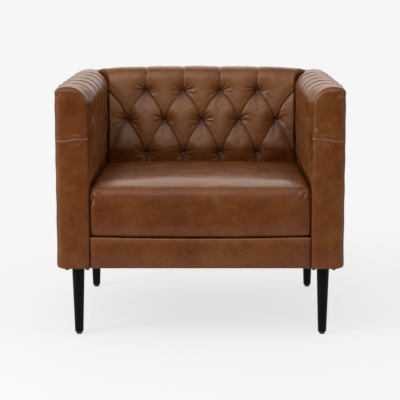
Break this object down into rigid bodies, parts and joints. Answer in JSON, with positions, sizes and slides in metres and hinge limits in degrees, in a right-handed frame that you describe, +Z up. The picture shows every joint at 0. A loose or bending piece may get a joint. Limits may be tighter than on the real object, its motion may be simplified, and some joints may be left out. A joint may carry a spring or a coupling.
{
  "type": "leather armchair",
  "caption": "Low square armchair with deep-tufted leather back and arms of one height, a loose box seat cushion and round tapered black legs.",
  "frame": {"origin": "on the floor, under the middle of the chair's overall length and width", "axes": "+Z up, the chair faces -Y, +X to the right as seen from the front"},
  "size_m": [0.812, 0.79, 0.735],
  "materials": {
    "brown_leather": "washed pull-up leather, satin",
    "hardwood": "planed, unfinished",
    "plywood": "sanded",
    "foam": "cut polyurethane foam",
    "webbing": "woven elastic",
    "deck_cloth": "plain weave",
    "dust_cloth": "non-woven",
    "tuft_twine": "waxed twine and leather-covered knots",
    "black_turned_wood": "satin black lacquer",
    "black_steel": "black coated",
    "zinc_steel": "zinc plated",
    "glide_nylon": "moulded nylon"
  },
  "bodies": {
    "chair": {"arm_board_left": "plywood", "arm_board_right": "plywood", "arm_foam_left": "foam", "arm_foam_right": "foam", "arm_front_cover_left": "brown_leather", "arm_front_cover_right": "brown_leather", "arm_lower_rail_left": "hardwood", "arm_lower_rail_right": "hardwood", "arm_top_rail_left": "hardwood", "arm_top_rail_right": "hardwood", "arm_tuft_ties_left": "tuft_twine", "arm_tuft_ties_right": "tuft_twine", "arm_tufted_cover_left": "brown_leather", "arm_tufted_cover_right": "brown_leather", "back_board": "plywood", "back_foam": "foam", "back_lower_rail": "hardwood", "back_top_rail": "hardwood", "back_tuft_ties": "tuft_twine", "back_tufted_cover": "brown_leather", "corner_blocks": "hardwood", "dust_cover": "dust_cloth", "front_border_cover": "brown_leather", "front_leg_left": "black_turned_wood", "front_leg_right": "black_turned_wood", "front_post_left": "hardwood", "front_post_right": "hardwood", "front_rail": "hardwood", "leg_bolts": "zinc_steel", "leg_glides": "glide_nylon", "leg_plate_screws": "black_steel", "leg_plates": "black_steel", "outside_arm_cover_left": "brown_leather", "outside_arm_cover_right": "brown_leather", "outside_back_cover": "brown_leather", "rear_leg_left": "black_turned_wood", "rear_leg_right": "black_turned_wood", "rear_post_left": "hardwood", "rear_post_right": "hardwood", "rear_rail": "hardwood", "seat_deck": "deck_cloth", "side_rail_left": "hardwood", "side_rail_right": "hardwood", "webbing_crosswise": "webbing", "webbing_lengthwise": "webbing"},
    "seat_cushion": {"seat_cushion_core": "foam", "seat_cushion_cover": "brown_leather"}
  },
  "joints": [
    {"name": "seat_cushion_slide", "type": "slide", "parent": "chair", "child": "seat_cushion", "axis": [0, -1, 0], "range_m": [0, 0.63]}
  ]
}
